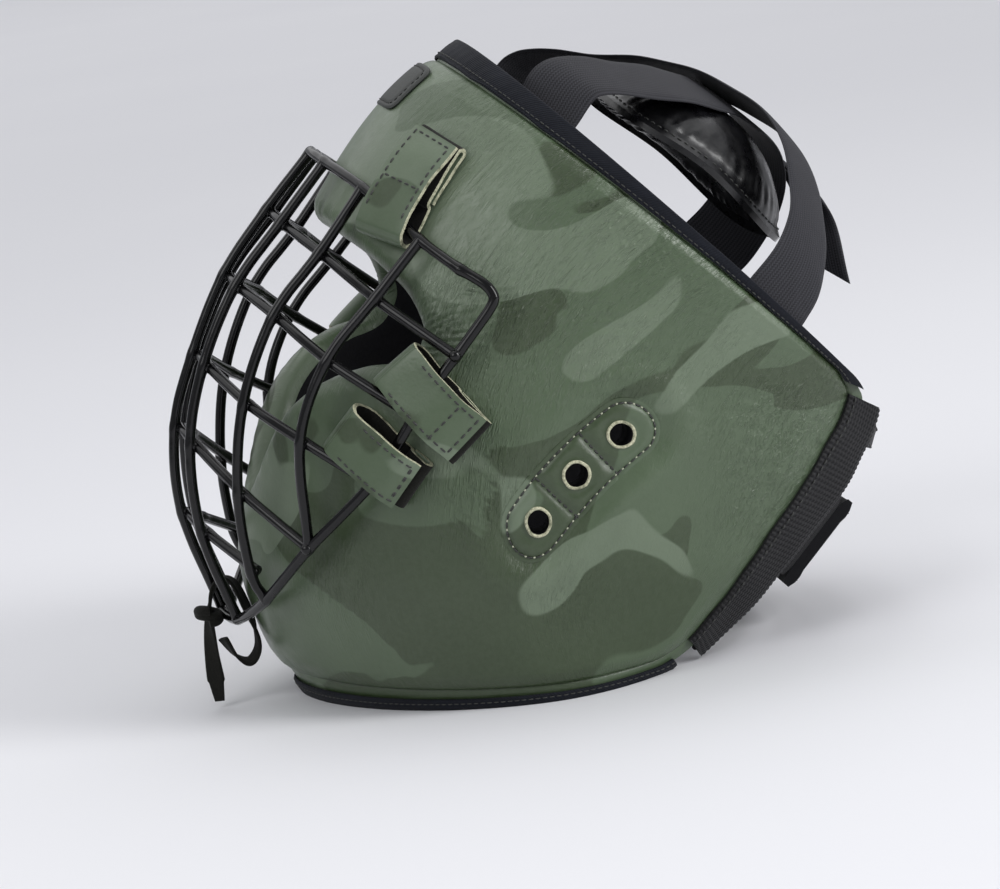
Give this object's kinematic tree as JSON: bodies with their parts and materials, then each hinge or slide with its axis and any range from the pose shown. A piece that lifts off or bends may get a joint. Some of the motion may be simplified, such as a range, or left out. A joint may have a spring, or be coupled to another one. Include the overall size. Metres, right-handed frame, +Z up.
{
  "type": "head guard",
  "caption": "Padded leather stick fighting head guard with a black wire face cage, leather cage straps, crossed crown webbing over a crown pad and a rear closure.",
  "frame": {"origin": "under the middle of the guard's box, on the surface that the jaw rim rests on", "axes": "+Z up, -Y to the front of the face, +X to the wearer's left"},
  "size_m": [0.216, 0.2856, 0.2464],
  "materials": {
    "leather_green": "satin camouflage leather, greens and grey brown",
    "tape_black": "navy black woven binding tape, stitched",
    "elastic_black": "black ribbed elastic",
    "wire_black": "gloss black coated steel wire, welded",
    "webbing_charcoal": "charcoal woven webbing",
    "leather_black": "gloss black leather, puffy",
    "hook_and_loop_black": "black fluffy loop tape",
    "thong_black": "black suede leather thong"
  },
  "bodies": {
    "root": {"shell": "leather_green", "crown_binding": "tape_black", "jaw_binding": "tape_black", "forehead_patch": "tape_black", "rear_elastic_left": "elastic_black", "rear_elastic_right": "elastic_black", "occiput_strap": "elastic_black", "nape_strap": "elastic_black", "temple_strap_left": "leather_green", "temple_strap_right": "leather_green", "upper_cheek_strap_left": "leather_green", "upper_cheek_strap_right": "leather_green", "lower_cheek_strap_left": "leather_green", "lower_cheek_strap_right": "leather_green", "cage": "wire_black", "crown_strap_left_front": "webbing_charcoal", "crown_strap_right_front": "webbing_charcoal", "crown_strap_tail": "webbing_charcoal", "closure_flap": "webbing_charcoal", "crown_pad": "leather_black", "closure_pad": "hook_and_loop_black", "chin_tie": "thong_black"}
  },
  "joints": []
}
